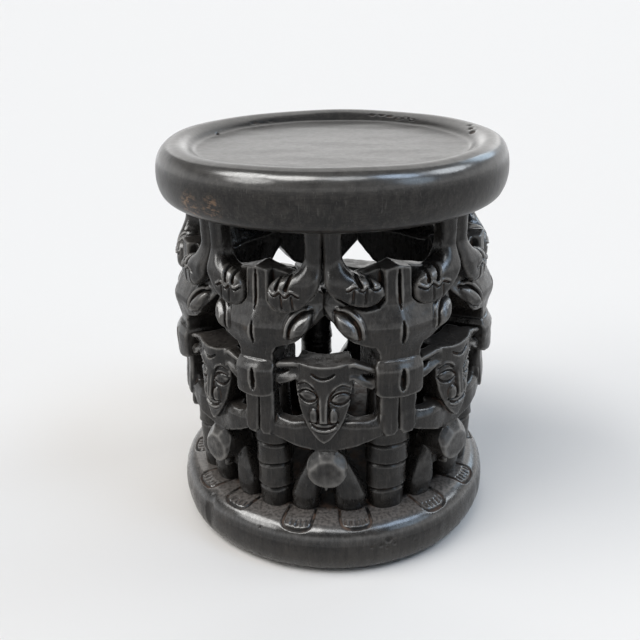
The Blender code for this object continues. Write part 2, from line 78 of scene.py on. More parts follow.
def drifted(even):
    """Angle about the axis where the carver set what even spacing would put at an angle."""
    degrees = np.degrees(wrapped(even))
    shifts = np.linspace(-HAND_BLEND, HAND_BLEND, 7)
    by_hand = [np.interp(degrees + shift, HAND_AT, HAND_BY, period=360) for shift in shifts]
    return even + SPACING_DRIFT * (1 - np.cos(even)) + np.radians(sum(by_hand) / len(shifts))


def to_world(points, angle):
    """Points of the wall, in mm along, out and up, in metres around the stool."""
    even = angle + points[:, 0] / WALL
    turn = drifted(even)
    out = points[:, 1] + SIDE_SWELL * np.sin(even) ** 2
    return np.stack([out * np.sin(turn), -out * np.cos(turn), points[:, 2]], axis=1) * MM


def smooth_min(a, b, soft):
    """The lesser of two fields, blended where they are nearly equal."""
    share = np.clip(0.5 + 0.5 * (b - a) / soft, 0, 1)
    return b + (a - b) * share - soft * share * (1 - share)


def smooth_max(a, b, soft):
    return -smooth_min(-a, -b, soft)


def step(value, low, high):
    """Smooth rise from 0 at a low value to 1 at a high one."""
    share = np.clip((value - low) / (high - low), 0, 1)
    return share * share * (3 - 2 * share)


def dome(u, w, middle, half):
    """1 at the middle of an ellipse, 0 on its outline, below 0 outside."""
    return 1 - ((u - middle[0]) / half[0]) ** 2 - ((w - middle[1]) / half[1]) ** 2


def turned(u, w, middle, tilt):
    """Place seen from a middle, along and across a tilted direction."""
    du = u - middle[0]
    dw = w - middle[1]
    c, s = math.cos(tilt), math.sin(tilt)
    return du * c + dw * s, dw * c - du * s


def rounded(value, power=0.5):
    return np.clip(value, 0, None) ** power


def off_line(u, w, start, end):
    """Offset from the nearest place of a straight line, along and up."""
    du, dw = end[0] - start[0], end[1] - start[1]
    share = np.clip(((u - start[0]) * du + (w - start[1]) * dw) / (du * du + dw * dw), 0, 1)
    return u - start[0] - share * du, w - start[1] - share * dw


def line_gap(u, w, points):
    """Distance to a line of points."""
    gaps = (np.hypot(*off_line(u, w, start, end)) for start, end in zip(points, points[1:]))
    return functools.reduce(np.minimum, gaps)


def groove(u, w, points, width):
    """1 along a line, 0 at half its width and beyond."""
    return rounded(1 - (2 * line_gap(u, w, points) / width) ** 2, 1)


def ridge(value, middle, width):
    """1 at a middle value, falling off smoothly on both sides."""
    return np.exp(-(((value - middle) / width) ** 2))


def outline(u, w, points):
    """Signed distance to a closed outline, below 0 inside."""
    best = np.full(np.broadcast(u, w).shape, 1e9)
    inside = np.zeros(best.shape, bool)
    for (u0, w0), (u1, w1) in zip(points, points[1:] + points[:1]):
        off_u, off_w = off_line(u, w, (u0, w0), (u1, w1))
        best = np.minimum(best, off_u ** 2 + off_w ** 2)
        if w1 != w0:
            inside ^= ((w0 > w) != (w1 > w)) & (u < u0 + (u1 - u0) * (w - w0) / (w1 - w0))
    return np.where(inside, -1, 1) * np.sqrt(best)


def both_sides(half):
    """A closed outline from its right half, which runs from the foot of the middle line to its head."""
    left = [(-u, w) for u, w in reversed(half) if u != 0]
    return list(half) + left


def curve(points, closed=False, steps=5):
    """Smooth line through points."""
    pts = [np.array(p, float) for p in points]
    count = len(pts)
    line = []
    for index in range(count if closed else count - 1):
        p1, p2 = pts[index], pts[(index + 1) % count]
        p0 = pts[index - 1] if closed or index > 0 else p1
        p3 = pts[(index + 2) % count] if closed or index + 2 < count else p2
        for t in np.arange(steps) / steps:
            line.append(tuple(0.5 * (2 * p1 + (p2 - p0) * t + (2 * p0 - 5 * p1 + 4 * p2 - p3) * t ** 2
                                     + (3 * p1 - p0 - 3 * p2 + p3) * t ** 3)))
    if not closed:
        line.append(tuple(pts[-1]))
    return line


# The field far from wood, and on the grid the depths of the wall and the room that is kept around a shape
FAR = 40
DEPTHS = (90, 200)
ROOM = 8
ROOM_UP = 6
# How softly a shape's rear and its ends are rounded, and how softly a stacked form joins the rest
REAR_SOFT = 2
END_SOFT = 3
STACK_JOIN = 3


class Block:
    """A block of wood on a grid; its field is below 0 in the wood and above 0 outside."""

    def __init__(self, low, high, seed, cell):
        self.cell = cell
        self.low = np.array(low, float)
        counts = np.ceil((np.array(high) - self.low) / cell).astype(int) + 1
        self.u, self.v, self.w = (self.low[i] + cell * np.arange(counts[i]) for i in range(3))
        self.field = np.full(counts, FAR, np.float32)
        self.draw = np.random.default_rng(seed)

    def window(self, low, high):
        """The grid between two corners: its place in the field, and its coordinates."""
        spans = []
        for axis, (a, b) in zip((self.u, self.v, self.w), zip(low, high)):
            start = max(int(np.searchsorted(axis, a)) - 1, 0)
            stop = min(int(np.searchsorted(axis, b)) + 1, len(axis))
            spans.append(slice(start, stop))
        u = self.u[spans[0]][:, None, None]
        v = self.v[spans[1]][None, :, None]
        w = self.w[spans[2]][None, None, :]
        return tuple(spans), u, v, w

    def add(self, low, high, shape, soft):
        """Adds a shape, a field of its own between two corners, with a soft join."""
        spans, u, v, w = self.window(low, high)
        self.field[spans] = smooth_min(self.field[spans], shape(u, v, w), soft)

    def slab(self, points, front, back, soft, join=2):
        """Adds an outline with depth; front and back are numbers or functions of along and up."""
        us, ws = zip(*points)
        low = (min(us) - ROOM, DEPTHS[0], min(ws) - ROOM)
        high = (max(us) + ROOM, DEPTHS[1], max(ws) + ROOM)

        def shape(u, v, w):
            side = outline(u, w, points)
            face = front(u, w) if callable(front) else front
            rear = back(u, w) if callable(back) else back
            return smooth_max(smooth_max(side, v - face, soft), rear - v, REAR_SOFT)

        self.add(low, high, shape, join)

    def stack(self, levels, middles, halves, fronts, back, power):
        """Adds a form whose level sections are rounded rectangles that change with height."""
        low = (min(m - h for m, h in zip(middles, halves)) - ROOM, DEPTHS[0], levels[0] - ROOM_UP)
        high = (max(m + h for m, h in zip(middles, halves)) + ROOM, DEPTHS[1], levels[-1] + ROOM_UP)

        def shape(u, v, w):
            middle = eased(w, levels, middles)
            half = eased(w, levels, halves)
            front = eased(w, levels, fronts)
            deep = (front - back) / 2
            across = np.abs((u - middle) / half)
            out = np.abs((v - (front + back) / 2) / deep)
            ring = ((across ** power + out ** power) ** (1 / power) - 1) * np.minimum(half, deep)
            ends = np.maximum(levels[0] - w, w - levels[-1])
            return smooth_max(ring, ends, END_SOFT)

        self.add(low, high, shape, STACK_JOIN)

    def roughen(self, spacing, depth):
        """Uneven surface left by hand tools: smooth random waves of a spacing and a depth."""
        spread = []
        for axis in (self.u, self.v, self.w):
            count = int((axis[-1] - axis[0]) / spacing) + 3
            place = (axis - axis[0]) / spacing
            base = place.astype(int)
            share = step(place - base, 0, 1)
            weights = np.zeros((len(axis), count), np.float32)
            rows = np.arange(len(axis))
            weights[rows, base] = 1 - share
            weights[rows, base + 1] = share
            spread.append(weights)
        lattice = self.draw.uniform(-1, 1, [s.shape[1] for s in spread]).astype(np.float32)
        waves = np.einsum("ai,ijk->ajk", spread[0], lattice)
        waves = np.einsum("bj,ajk->abk", spread[1], waves)
        waves = np.einsum("ck,abk->abc", spread[2], waves)
        self.field += np.float32(depth) * waves


# Share of a form's height over which its bends are eased
EASE = 0.04
EASE_SHIFTS = (-1, -0.5, 0, 0.5, 1)


def eased(w, levels, values):
    """Values between levels, smoothed a little at the bends."""
    spread = (levels[-1] - levels[0]) * EASE
    return sum(np.interp(w + s * spread, levels, values) for s in EASE_SHIFTS) / len(EASE_SHIFTS)


# Corners and edges of a cell of the grid
CORNERS = np.array([(a, b, c) for a in (0, 1) for b in (0, 1) for c in (0, 1)])
EDGES = [(i, j) for i in range(8) for j in range(i + 1, 8) if np.abs(CORNERS[i] - CORNERS[j]).sum() == 1]
# What counts as around a point, and the depth that counts as standing out or lying low by 1
BLUR = 3.3
STAND_DEPTH = 4


def box_blur(field, reach):
    """Mean of a field over so many grid steps to each side."""
    out = field
    for axis in range(3):
        size = out.shape[axis]
        padded = np.concatenate([np.take(out, [0] * (reach + 1), axis), out,
                                 np.take(out, [size - 1] * reach, axis)], axis)
        total = np.cumsum(padded, axis, dtype=np.float32)
        upper = np.take(total, np.arange(2 * reach + 1, size + 2 * reach + 1), axis)
        lower = np.take(total, np.arange(size), axis)
        out = (upper - lower) / (2 * reach + 1)
    return out


def at_corner(field, cells, corner):
    return field[tuple((cells + corner).T)]


def skin_quads(inside, number):
    """Quads through the points of the four cells around each grid edge that leaves the wood."""
    quads = []
    for axis in range(3):
        first = [slice(1, -1)] * 3
        second = [slice(1, -1)] * 3
        first[axis], second[axis] = slice(0, -1), slice(1, None)
        change = inside[tuple(first)] != inside[tuple(second)]
        solid = inside[tuple(first)][change]
        spots = np.argwhere(change) + [0 if i == axis else 1 for i in range(3)]
        e1, e2 = np.roll(np.eye(3, dtype=int), -axis - 1, axis=0)[:2]
        ring = [number[tuple((spots - d).T)] for d in (0 * e1, e1, e1 + e2, e2)]
        quad = np.stack(ring, axis=1)
        quad[solid] = quad[solid][:, ::-1]
        quads.append(quad)
    return np.concatenate(quads)


def skin(block):
    """The wood's surface as points, quads and how far each point stands out from what is around it."""
    field = block.field
    inside = field < 0
    nx, ny, nz = (n - 1 for n in field.shape)
    filled = np.zeros((nx, ny, nz), np.int8)
    for a, b, c in CORNERS:
        filled += inside[a:nx + a, b:ny + b, c:nz + c]
    mixed = (filled > 0) & (filled < len(CORNERS))
    cells = np.argwhere(mixed)
    number = np.full(mixed.shape, -1, np.int64)
    number[mixed] = np.arange(len(cells))
    values = [at_corner(field, cells, corner) for corner in CORNERS]
    total = np.zeros((len(cells), 3))
    count = np.zeros(len(cells))
    for i, j in EDGES:
        crossing = (values[i] < 0) != (values[j] < 0)
        share = values[i][crossing] / (values[i][crossing] - values[j][crossing])
        total[crossing] += CORNERS[i] + share[:, None] * (CORNERS[j] - CORNERS[i])
        count[crossing] += 1
    offset = total / count[:, None]
    points = block.low + block.cell * (cells + offset)
    soft = box_blur(np.clip(field, -STAND_DEPTH, STAND_DEPTH), max(1, round(BLUR / block.cell)))
    stand = np.zeros(len(cells))
    for corner in CORNERS:
        stand += np.abs(1 - corner - offset).prod(axis=1) * at_corner(soft, cells, corner)
    return points, skin_quads(inside, number), stand / STAND_DEPTH


def add_piece(name, node, slot, points, quads, stand):
    """A smooth piece in place of a node; its wood reads how far each point stands out."""
    mesh = bpy.data.meshes.new(name)
    mesh.vertices.add(len(points))
    mesh.vertices.foreach_set("co", np.ascontiguousarray(points, np.float32).ravel())
    mesh.loops.add(quads.size)
    mesh.loops.foreach_set("vertex_index", np.ascontiguousarray(quads, np.int32).ravel())
    mesh.polygons.add(len(quads))
    mesh.polygons.foreach_set("loop_start", np.arange(0, quads.size, quads.shape[1], dtype=np.int32))
    mesh.update(calc_edges=True)
    mesh.validate()
    mesh.shade_smooth()
    worn = mesh.attributes.new("stand", "FLOAT", "POINT")
    worn.data.foreach_set("value", np.ascontiguousarray(stand, np.float32))
    mesh.materials.append(WOODS[slot])
    obj = bpy.data.objects.new(name, mesh)
    bpy.context.scene.collection.objects.link(obj)
    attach(obj, "root")
    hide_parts(node)


def cell_of(unit):
    """The front of the stool is carved on a finer grid than the back."""
    return FINE_CELL if unit in FRONT_UNITS else CELL


def carve(name, node, slot, block, angle, worn=None, mirrored=False):
    """Adds the piece that a block holds, bent around the wall; worn adds to how its points stand out."""
    points, quads, stand = skin(block)
    if worn is not None:
        stand = stand + worn(*points.T)
    if mirrored:
        points[:, 0] *= -1
        quads = quads[:, ::-1]
    add_piece(name, node, slot, to_world(points, angle), quads, stand)


def closed_tube(rows, columns):
    """Quads of a tube of rings of points, closed by fans round two more points, one for each end."""
    index = np.arange(rows * columns).reshape(rows, columns)
    after = np.roll(index, -1, axis=1)
    sides = np.stack([index[1:], after[1:], after[:-1], index[:-1]], axis=-1).reshape(-1, 4)
    a = np.arange(0, columns, 2)
    b, c = a + 1, (a + 2) % columns
    first = np.stack([np.full_like(a, rows * columns), *index[0][[a, b, c]]], axis=-1)
    last = np.stack([np.full_like(a, rows * columns + 1), *index[-1][[c, b, a]]], axis=-1)
    return np.concatenate([sides, first, last])


# Materials
# A colour mix's two colours and its result, among the sockets of its node
MIX_COLOURS = (6, 7)
MIX_RESULT = 2


class Nodes:
    """Short way to add and join shader nodes of a material or a world."""

    def __init__(self, owner, coordinates):
        owner.use_nodes = True
        self.tree = owner.node_tree
        self.where = self.add("ShaderNodeTexCoord").outputs[coordinates]

    def add(self, kind, **values):
        node = self.tree.nodes.new(kind)
        for key, value in values.items():
            setattr(node, key, value)
        return node

    def link(self, source, target):
        self.tree.links.new(source, target)

    def up(self, vector):
        """The upward part of a vector."""
        node = self.add("ShaderNodeSeparateXYZ")
        self.link(vector, node.inputs["Vector"])
        return node.outputs["Z"]

    def noise(self, waves, detail, rough, warp=0):
        """Noise with so many waves per metre in x, y and z."""
        scaled = self.add("ShaderNodeMapping")
        scaled.inputs["Scale"].default_value = waves
        self.link(self.where, scaled.inputs["Vector"])
        node = self.add("ShaderNodeTexNoise")
        for key, number in (("Scale", 1), ("Detail", detail), ("Roughness", rough), ("Distortion", warp)):
            node.inputs[key].default_value = number
        self.link(scaled.outputs["Vector"], node.inputs["Vector"])
        return node.outputs["Fac"]

    def spread(self, value, low, high, to_low=0, to_high=1):
        """Smooth change from one result at a low value to another at a high one."""
        node = self.add("ShaderNodeMapRange", interpolation_type="SMOOTHSTEP")
        self.link(value, node.inputs["Value"])
        for key, number in (("From Min", low), ("From Max", high), ("To Min", to_low), ("To Max", to_high)):
            node.inputs[key].default_value = number
        return node.outputs["Result"]

    def math(self, kind, a, b):
        node = self.add("ShaderNodeMath", operation=kind)
        for socket, value in zip(node.inputs, (a, b)):
            if isinstance(value, (int, float)):
                socket.default_value = value
            else:
                self.link(value, socket)
        return node.outputs[0]

    def times(self, *factors):
        return functools.reduce(lambda a, b: self.math("MULTIPLY", a, b), factors)

    def most(self, *values):
        return functools.reduce(lambda a, b: self.math("MAXIMUM", a, b), values)

    def mix(self, share, a, b):
        node = self.add("ShaderNodeMix", data_type="RGBA")
        self.link(share, node.inputs["Factor"])
        for index, value in zip(MIX_COLOURS, (a, b)):
            if isinstance(value, tuple):
                node.inputs[index].default_value = (*value, 1)
            else:
                self.link(value, node.inputs[index])
        return node.outputs[MIX_RESULT]

    def bump(self, height, strength, distance, below=None):
        node = self.add("ShaderNodeBump")
        node.inputs["Strength"].default_value = strength
        node.inputs["Distance"].default_value = distance
        self.link(height, node.inputs["Height"])
        if below is not None:
            self.link(below, node.inputs["Normal"])
        return node.outputs["Normal"]


# Patterns of noise: waves per metre in x, y and z, detail and roughness
STAIN = ((30, 30, 22), 7, 0.7)
MOTTLE = ((150, 150, 100), 5, 0.7)
SCRATCHES = ((1100, 1100, 60), 3, 0.5)
TAN_SPOTS = ((24, 24, 38), 8, 0.78)
FLAKES = ((140, 140, 330), 6, 0.7)
DUST_PATCHES = ((55, 55, 40), 5, 0.65)
DUST_SPECKS = ((300, 300, 300), 3, 0.6)
WEAR = ((90, 90, 60), 4, 0.6)
SHEEN = ((160, 160, 90), 5, 0.65)
BROAD_WAVES = ((40, 40, 30), 1, 0.5)
TOOL_MARKS = ((110, 110, 80), 2, 0.5)
GRIT = ((480, 480, 480), 3, 0.6)

# Waves per metre of the grain, and its detail, roughness and warp as colour and as relief
UPRIGHT = (420, 420, 26)
ACROSS = (36, 700, 700)
GRAIN_LINES = (5, 0.6, 0.3)
GRAIN_RELIEF = (2, 0.45, 0.3)

# Depths of the relief in the materials, in metres
BROAD_DEPTH = 0.0014
TOOL_DEPTH = 0.0005
GRAIN_DEPTH = 0.00012
GRIT_DEPTH = 0.0003

# Colours of the stain, of what lies on it and of what shows where it is worn; some also stand for painted
# shade in hollows, painted glints on edges, painted sheen on level faces and a painted reflection of the
# ground low on the base
BLACK = (0.0065, 0.006, 0.0058)
BROWN_BLACK = (0.03, 0.0265, 0.0235)
SOFT_BLACK = (0.021, 0.0185, 0.0165)
DIRT_AND_SHADE = (0.003, 0.0027, 0.0025)
DUST = (0.095, 0.058, 0.041)
RUBBED_AND_GLINT = (0.2, 0.19, 0.178)
TAN = (0.07, 0.05, 0.035)
BARE = (0.2, 0.125, 0.075)
SETTLED_AND_SHEEN = (0.17, 0.152, 0.14)
SCUFF_AND_REFLECTION = (0.062, 0.056, 0.049)

# Bare wood on the seat's side: where, and how far it reaches, in metres
SEAT_BARE = (((-0.128, -0.138, 0.397), 0.02), ((-0.103, -0.157, 0.401), 0.016))

SPECULAR = 0.29
WAX_IOR = 2


def stained(n, lines, pale, mottled, bare):
    """Colour of the stain: uneven, with grain, scratches, tan spots and spots where it has flaked off."""
    colour = n.mix(n.spread(n.noise(*STAIN), 0.36, 0.66), BLACK, pale)
    mottle = n.spread(n.noise(*MOTTLE), 0.4, 0.66)
    colour = n.mix(n.times(mottle, mottled), colour, tuple(1.6 * p for p in pale))
    streak = n.spread(lines, 0.42, 0.66)
    colour = n.mix(n.times(streak, 0.5), colour, tuple(0.5 * b for b in BLACK))
    scratch = n.spread(n.noise(*SCRATCHES), 0.6, 0.72)
    colour = n.mix(n.times(scratch, 0.2), colour, RUBBED_AND_GLINT)
    tan = n.spread(n.noise(*TAN_SPOTS), 0.6, 0.74)
    colour = n.mix(n.times(tan, 0.45), colour, TAN)
    for spot, reach in bare:
        away = n.add("ShaderNodeVectorMath", operation="DISTANCE")
        n.link(n.where, away.inputs[0])
        away.inputs[1].default_value = spot
        near = n.spread(away.outputs["Value"], reach, 0.3 * reach)
        colour = n.mix(n.times(n.spread(n.noise(*FLAKES), 0.47, 0.64), near), colour, BARE)
    return colour


def dark_wood(name, pale, grain, gloss, dusty=0.6, settled_and_sheen=0, rubbed_and_glint=0.5, mottled=0.35, scuff_and_reflection_height=0, bare=(),
              uneven=0.5, grit=0, waxed=0.8, wax_top=1.2, wax_rough=0.24):
    """Black-stained wood with dirt, dust and painted shade in its hollows, dust and painted sheen on level
    faces, rubbed edges with painted glints, and wax.

    gloss is a range of roughness, the scuff and reflection height how high scuffs and a painted reflection
    of the ground reach, and wax_top how level a waxed face can be.
    """
    material = bpy.data.materials.new(name)
    n = Nodes(material, "Object")
    shader = n.tree.nodes["Principled BSDF"]
    lines = n.noise(grain, *GRAIN_LINES)
    stand = n.add("ShaderNodeAttribute", attribute_name="stand").outputs["Fac"]
    up = n.up(n.add("ShaderNodeNewGeometry").outputs["Normal"])

    low = n.spread(stand, -0.04, -0.24)
    patch = n.spread(n.noise(*DUST_PATCHES), 0.44, 0.62)
    held = n.times(n.spread(stand, -0.12, -0.3), dusty, patch)
    speck = n.spread(n.noise(*DUST_SPECKS), 0.36, 0.6, 0.35, 1)
    level = n.times(n.spread(up, 0.8, 0.98), settled_and_sheen, speck, n.spread(stand, -0.5, -0.25))
    wear = n.spread(n.noise(*WEAR), 0.3, 0.6, 0.4, 1)
    edge = n.times(n.spread(stand, 0.08, 0.27), wear, rubbed_and_glint)

    colour = stained(n, lines, pale, mottled, bare)
    # Hollows darken towards near-black: dirt and painted shade
    colour = n.mix(n.times(low, 0.75), colour, DIRT_AND_SHADE)
    colour = n.mix(held, colour, DUST)
    # Level faces turn light grey: settled dust and painted sheen of light from above
    colour = n.mix(level, colour, SETTLED_AND_SHEEN)
    # Low on the base the colour turns brown-grey: scuffs and a painted reflection of the ground
    if scuff_and_reflection_height > 0:
        foot = n.spread(n.up(n.where), scuff_and_reflection_height, 0.2 * scuff_and_reflection_height)
        colour = n.mix(n.times(foot, n.spread(lines, 0.3, 0.7, 0.8, 0.4)), colour, SCUFF_AND_REFLECTION)
    # Edges that stand out turn light grey: rubbed wear and painted glints
    n.link(n.mix(edge, colour, RUBBED_AND_GLINT), shader.inputs["Base Color"])

    rough = n.spread(n.noise(*SHEEN), 0.3, 0.7, *gloss)
    film = n.most(held, level, n.times(low, 0.4))
    n.link(n.math("ADD", rough, n.times(film, 0.4)), shader.inputs["Roughness"])
    shader.inputs["Specular IOR Level"].default_value = SPECULAR

    # Wax rubbed bright where hands and cloth reach, on faces that lean upward
    leaning = n.spread(up, 0.08, 0.45, 0, waxed)
    kept = n.spread(up, wax_top - 0.14, wax_top, 1, 0)
    clean = n.math("SUBTRACT", 1, n.most(held, low))
    wax = n.times(leaning, kept, n.spread(lines, 0.3, 0.62, 1, 0.7), clean)
    n.link(wax, shader.inputs["Coat Weight"])
    shader.inputs["Coat IOR"].default_value = WAX_IOR
    shader.inputs["Coat Roughness"].default_value = wax_rough

    broad = n.bump(n.noise(*BROAD_WAVES), uneven, BROAD_DEPTH)
    n.link(broad, shader.inputs["Coat Normal"])
    normal = n.bump(n.noise(*TOOL_MARKS), uneven, TOOL_DEPTH, broad)
    normal = n.bump(n.noise(grain, *GRAIN_RELIEF), 0.5, GRAIN_DEPTH, normal)
    if grit > 0:
        normal = n.bump(n.noise(*GRIT), grit, GRIT_DEPTH, normal)
    n.link(normal, shader.inputs["Normal"])
    return material


WOODS = {
    "seat_wood": dark_wood(
        "seat_look", (0.023, 0.0205, 0.0185), ACROSS, (0.28, 0.33), dusty=0.5, mottled=0.9, bare=SEAT_BARE,
        uneven=0.2, grit=0.2, waxed=1, wax_top=1.05, wax_rough=0.19),
    "base_wood": dark_wood(
        "base_look", BROWN_BLACK, UPRIGHT, (0.2, 0.38), dusty=0.9, settled_and_sheen=0.75, scuff_and_reflection_height=0.045, waxed=1,
        wax_rough=0.22),
    "figure_wood": dark_wood(
        "figure_look", (0.026, 0.023, 0.0205), UPRIGHT, (0.2, 0.38), settled_and_sheen=0.2, rubbed_and_glint=0.85, waxed=0.52),
    "pillar_wood": dark_wood("pillar_look", BROWN_BLACK, UPRIGHT, (0.22, 0.4), rubbed_and_glint=0.4, waxed=0.5),
    "beast_wood": dark_wood(
        "beast_look", BROWN_BLACK, UPRIGHT, (0.2, 0.38), settled_and_sheen=0.3, rubbed_and_glint=0.85, waxed=0.9),
    "arm_wood": dark_wood("arm_look", SOFT_BLACK, UPRIGHT, (0.18, 0.36), rubbed_and_glint=0.8),
}


# Squatting figures
HEAD_MIDDLE = 200
EYE_LEVEL = 208.2
LID = (9.8, 5.6)
LID_TILT = 0.13
NOSE_LEVELS = (182, 200, 210, 218, 223)
NOSE_HALVES = (3.9, 4.2, 5.6, 9.6, 15)
NOSTRIL_AT = (10, 188.2)
NOSTRIL_HALF = (4.7, 8.2)
# Lines of the face; the brow runs outward from the nose, above an eye at its usual level
BROW = ((5, 198), (6, 209), (11.5, 218.8), (19, 222.6), (26.5, 219))
UPPER_LIP = ((-14.5, 180.2), (0, 179.6), (14.5, 180.2))
MOUTH = ((-13, 177.4), (-6.5, 174.6), (0, 173.8), (6.5, 174.6), (13, 177.4))
FOREHEAD = ((-11, 234.6), (-5.5, 231.2), (0, 230), (5.5, 231.2), (11, 234.6))
# The belly's knob, and its flat facets: degrees around and distance from its middle
KNOB_LEVEL = 124
KNOB_FRONT = 166.6
KNOB_RADIUS = 21.2
KNOB_FACETS = ((90, 10.6), (48, 11.6), (132, 11.2), (8, 17), (172, 17.5))
# How much higher the knees are on the far figures
HIGH_KNEES = {4: 14, 5: 14}


def with_eye(face, u, w, side, out, level):
    """A face with a lidded eye in its hollow, the brow above it and the nostril below it."""
    du, dw = turned(u, w, (side * out, level), side * LID_TILT)
    face = face - 2.2 * rounded(1 - np.hypot(du / 13.5, (dw - 1) / 12) ** 2, 0.6)
    half = LID[1] * np.clip(1 - (du / LID[0]) ** 2, 0, 1) ** 0.75
    over = np.clip(np.abs(du) - LID[0], 0, None)
    gap = np.hypot(np.clip(np.abs(dw) - half, 0, None), over)
    inside = np.clip(half - np.abs(dw), 0, None) * (over <= 0)
    face = face + 2.8 * np.clip(inside / 4, 0, 1) ** 0.55
    face = face - 1.5 * ridge(gap, 0.9, 0.8) * (inside <= 0)
    face = face + 1.5 * ridge(gap, 3, 0.9) * step(side * u, 4.6, 6.6)
    brow = curve([(a, b + level - EYE_LEVEL) for a, b in BROW])
    above = [(a, b + 2.6) for a, b in brow]
    face = face - 2 * groove(side * u, w, brow, 2.6)
    face = face + 1.1 * groove(side * u, w, above, 2.8) * step(side * u, 6, 11)
    out, level = NOSTRIL_AT
    nostril = np.hypot((u - side * out) / NOSTRIL_HALF[0], (w - level) / NOSTRIL_HALF[1])
    return face + 3 * rounded(1 - nostril ** 2) - ridge(nostril, 1.16, 0.12)


def face_relief(shift, lean, eyes):
    """Front of a figure's mask, with its eyes, long nose and lips, as a function of along and up."""

    def front(u, w):
        u = u - shift - lean * (w - HEAD_MIDDLE)
        face = 165.5 - 5.5 * (np.abs(u) / 28) ** 2.2
        for side, eye in zip(SIDES, eyes):
            face = with_eye(face, u, w, side, *eye)
        half = np.interp(w, NOSE_LEVELS, NOSE_HALVES)
        along = step(w, 180.4, 182.2) * (1 - step(w, 209, 222))
        face = face + along * step(half - np.abs(u), -0.7, 0.7) * (0.8 + 3 * step(222 - w, 0, 40))
        face = face - along * 1.2 * ridge(np.abs(u) - half, 1.3, 0.8) * (1 - step(w, 196, 206))
        face = face - 2.4 * groove(u, w, UPPER_LIP, 2.8)
        lip = curve(MOUTH, steps=4)
        for drop, rise, wide in ((0, -2.6, 2.4), (3.2, 1.5, 3), (5.8, -1, 2.2)):
            face = face + rise * groove(u, w, [(0.9 * a, b - drop) for a, b in lip], wide)
        line = curve(FOREHEAD, steps=4)
        face = face - 2.6 * groove(u, w, line, 3)
        return face + 0.9 * groove(u, w, [(a, b - 2.2) for a, b in line], 2.6)

    return front


def add_body(block, knee, leg_grow):
    """Trunk, bent legs and the wedge between them."""
    block.stack((86, 104, 122, 150, 214), (0,) * 5, (16, 21, 23, 20, 17), (141, 145, 147, 147, 144),
                108, 3.2)
    for side, grow in zip(SIDES, leg_grow):
        levels = (BASE_TOP - SINK, 65, 78 + 0.5 * knee, 94 + knee, 108 + knee, 124 + knee + grow)
        block.stack(levels, [side * m for m in (28.5, 29, 28, 25, 21, 15.5)],
                    [h + 0.6 * grow for h in (15.5, 17.2, 18, 15.2, 11.5, 6)],
                    (147.5, 150, 152, 150.5, 148, 143), 114, 2.6)
    block.slab([(-8, 108), (8, 108), (1, 90.5), (-1, 90.5)], lambda u, w: 155 - np.abs(u) * 0.5, 138, 2)


def add_arms(block):
    """Arms out to the elbows, and forearms up from there."""
    arms = both_sides([(0, 141), (10, 142), (30, 149.6), (50, 157.4), (64, 162),
                       (71, 164.5), (73.4, 170), (73.4, 211), (55.6, 211), (55.2, 186),
                       (52, 180), (38, 178), (0, 178)])

    def arm_front(u, w):
        swell = 158.5 + 5.5 * step(np.abs(u), 8, 34)
        return swell - 5 * step(w, 170, 181) * (np.abs(u) < 55)

    block.slab(arms, arm_front, lambda u, w: 147.5 - 10 * step(34 - np.abs(u), 0, 12), 3)
    for side in SIDES:
        forearm = [(side * u, w) for u, w in ((56.5, 166), (60, 160), (69.5, 159.5), (73.4, 165),
                                               (73.4, 211), (56.5, 211))]
        block.slab(forearm, lambda u, w: 166.8 - 2.6 * step(w, 165, 205), 147.5, 3.5, 1)


def add_ear(block, side, tip, droop, shift, lift):
    """A level ear with a notch in its tip."""
    ear = [(side * u + shift, w + lift) for u, w in (
        (24, 222), (24, 243), (31, 244), (tip - 4, 243.5 - droop), (tip, 241 - droop),
        (tip + 0.5, 236.5 - droop), (tip - 7, 235 - 0.9 * droop), (37, 233.5 - 0.5 * droop),
        (tip - 7, 230.5 - droop), (tip + 0.5, 229 - droop), (tip + 0.5, 221.5 - droop),
        (tip - 3.5, 219 - droop), (39, 221.5 - 0.7 * droop), (29, 225.5))]
    middle = [(side * 30 + shift, 233.8 + lift), (side * (tip + 2) + shift, 232 - droop + lift)]
    block.slab(ear, lambda u, w: 159 + 3.6 * step(line_gap(u, w, middle), 1, 8), 148, 2.2, 1.2)


def add_knob(block, shift):
    """The faceted knob on the belly."""

    def knob(u, v, w):
        du, dw = u - shift, w - KNOB_LEVEL
        wide = KNOB_RADIUS + 0.1 * (KNOB_FRONT - v)
        shape = smooth_max(np.hypot(du, dw) - wide, v - KNOB_FRONT, 2)
        for turn, flat in KNOB_FACETS:
            a = math.radians(turn)
            plane = (du * math.cos(a) + dw * math.sin(a) - flat) * 0.64 + (v - KNOB_FRONT) * 0.77
            shape = smooth_max(shape, plane, 0.6)
        return np.maximum(shape, 130 - v)

    block.add((-30, 126, 96), (30, 176, 152), knob, 1.2)


